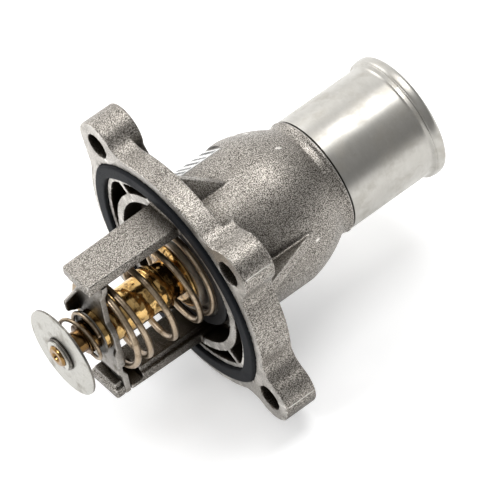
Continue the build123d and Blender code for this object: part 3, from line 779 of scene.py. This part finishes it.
stem = {"seat": 6.3, "seatThick": 0.5, "top": -26.5, "shoulder": 4.2, "shoulderEnd": -30.0, "stem": 3.0,
        "end": -37.9, "tip": 0.5, "recess": 1.4, "recessDepth": 2.2, "ringLow": -37.2, "ringThick": 0.4,
        "groove": 0.5}


def makeStem(s):
    groove = s["stem"] - s["groove"]
    points = [(0, s["top"]), (s["shoulder"], s["top"]), (s["shoulder"], s["shoulderEnd"]),
              (s["stem"], s["shoulderEnd"]), (s["stem"], s["ringLow"] + s["ringThick"]),
              (groove, s["ringLow"] + s["ringThick"]), (groove, s["ringLow"]), (s["stem"], s["ringLow"]),
              (s["stem"], s["end"] + s["tip"]), (s["stem"] - s["tip"], s["end"]),
              (s["recess"], s["end"]), (s["recess"] - 0.5, s["end"] + 0.6),
              (s["recess"] - 0.6, s["end"] + s["recessDepth"]), (0, s["end"] + s["recessDepth"] + 0.4)]
    return lathe("turnedStem", points, 0.12)


place("turnedStem", makeStem(stem), "element", "turnedStemBrass", "bypass_stem")
seatBore, seatFace = stem["shoulder"] + 0.02, stem["top"] - stem["seatThick"]
place("springSeat", lathe("springSeat", [(seatBore, seatFace), (stem["seat"], seatFace),
                                         (stem["seat"], stem["top"]), (seatBore, stem["top"])], 0.15),
      "element", "darkWasherSteel")

disc = {"radius": 12.2, "thick": 0.8, "face": -36.1, "hub": 5.2, "hubHeight": 0.6, "bore": 3.08,
        "step": 8.6, "edge": 0.3, "edgeStart": 0.32}


def makeDisc(s):
    back = s["face"] + s["thick"]
    lip = s["face"] + s["edgeStart"]
    points = [(s["bore"], s["face"]), (s["step"], s["face"]), (s["step"] + 0.5, s["face"] + 0.08),
              (s["radius"], s["face"] + 0.08), (s["radius"], lip), (s["radius"] - s["edge"], lip),
              (s["radius"] - s["edge"], back), (s["hub"], back),
              (s["hub"], back + s["hubHeight"]), (s["bore"], back + s["hubHeight"])]
    return lathe("satinDisc", points, 0.12, 160)


# A dark band round the disc's rim.
def makeDiscEdge(s):
    start, end = s["face"] + s["edgeStart"] + 0.01, s["face"] + s["thick"]
    return lathe("darkDiscRim", [(s["radius"] - s["edge"] + 0.01, start), (s["radius"], start),
                                    (s["radius"], end), (s["radius"] - s["edge"] + 0.01, end)], 0.08, 160)


place("satinDisc", makeDisc(disc), "bypass_valve", "satinDiscSteel", "bypass_disc")
place("darkDiscRim", makeDiscEdge(disc), "bypass_valve", "darkWasherSteel")
washer = {"radius": 4.6, "thick": 0.6, "top": -36.15, "bore": 3.02}
place("darkWasher", lathe("darkWasher", [(washer["bore"], washer["top"] - washer["thick"]),
                                         (washer["radius"], washer["top"] - washer["thick"]),
                                         (washer["radius"], washer["top"]), (washer["bore"], washer["top"])],
                          0.18), "element", "darkWasherSteel", "stop_washer")
print("element, stem and bypass disc made")

labelRows = {"turn": -81.5, "face": 19.86, "lift": 0.02, "low": -5.0, "high": 4.6, "bar": 1.1, "space": 0.6,
              # place along the outlet, height and seed of each line
              "lines": ((13.6, 1.0, 4), (15.6, 0.8, 3), (17.9, 1.1, 5), (20.4, 0.8, 2), (22.8, 1.3, 7))}


def makeLabelBars(s):
    # Lines of plain dark bars across the label.
    turn = math.radians(s["turn"])
    lean = math.radians(clocking)
    work = bmesh.new()

    def corner(across, along):
        u = s["face"] * math.cos(turn) - across * math.sin(turn)
        v = s["face"] * math.sin(turn) + across * math.cos(turn)
        lift = Vector((0, -math.sin(lean) * u - math.cos(lean) * v, math.cos(lean) * u - math.sin(lean) * v))
        return work.verts.new((Vector((along, 0, 0)) + lift) * mm)

    for along, height, seed in s["lines"]:
        across, count = s["low"], 0
        while across < s["high"]:
            end = min(across + s["bar"] * (1 + (count * seed) % 3 / 2), s["high"])
            work.faces.new([corner(across, along), corner(end, along), corner(end, along + height),
                            corner(across, along + height)])
            across = end + s["space"]
            count += 1
    solid = bmesh.ops.extrude_face_region(work, geom=work.faces[:])
    out = Vector((0, -math.sin(lean) * math.cos(turn) - math.cos(lean) * math.sin(turn),
                  math.cos(lean) * math.cos(turn) - math.sin(lean) * math.sin(turn)))
    raised = [item for item in solid["geom"] if isinstance(item, bmesh.types.BMVert)]
    bmesh.ops.translate(work, verts=raised, vec=out * s["lift"] * mm)
    return tidied("labelBars", work)


place("labelBars", makeLabelBars(labelRows), "root", "labelInk", smooth=False)
print("label bars made")

carried = {
    "valve_disc": "drawnCupSteel", "valve_seal": "sealRubber", "element_guide": "polishedBrass",
    "wax_charge": "paleWax", "diaphragm": "sealRubber", "rubber_plug": "sealRubber",
    "plug_washer": "groundPinSteel", "piston": "groundPinSteel", "retaining_ring": "satinDiscSteel",
    "blank_label": "whiteLabelStock",
}
for nodeName, finishName in carried.items():
    carriedMesh = nodes[nodeName].data
    carriedMesh.materials.clear()
    carriedMesh.materials.append(finishes[finishName])
print("finishes given to the nodes that stay:", len(carried))
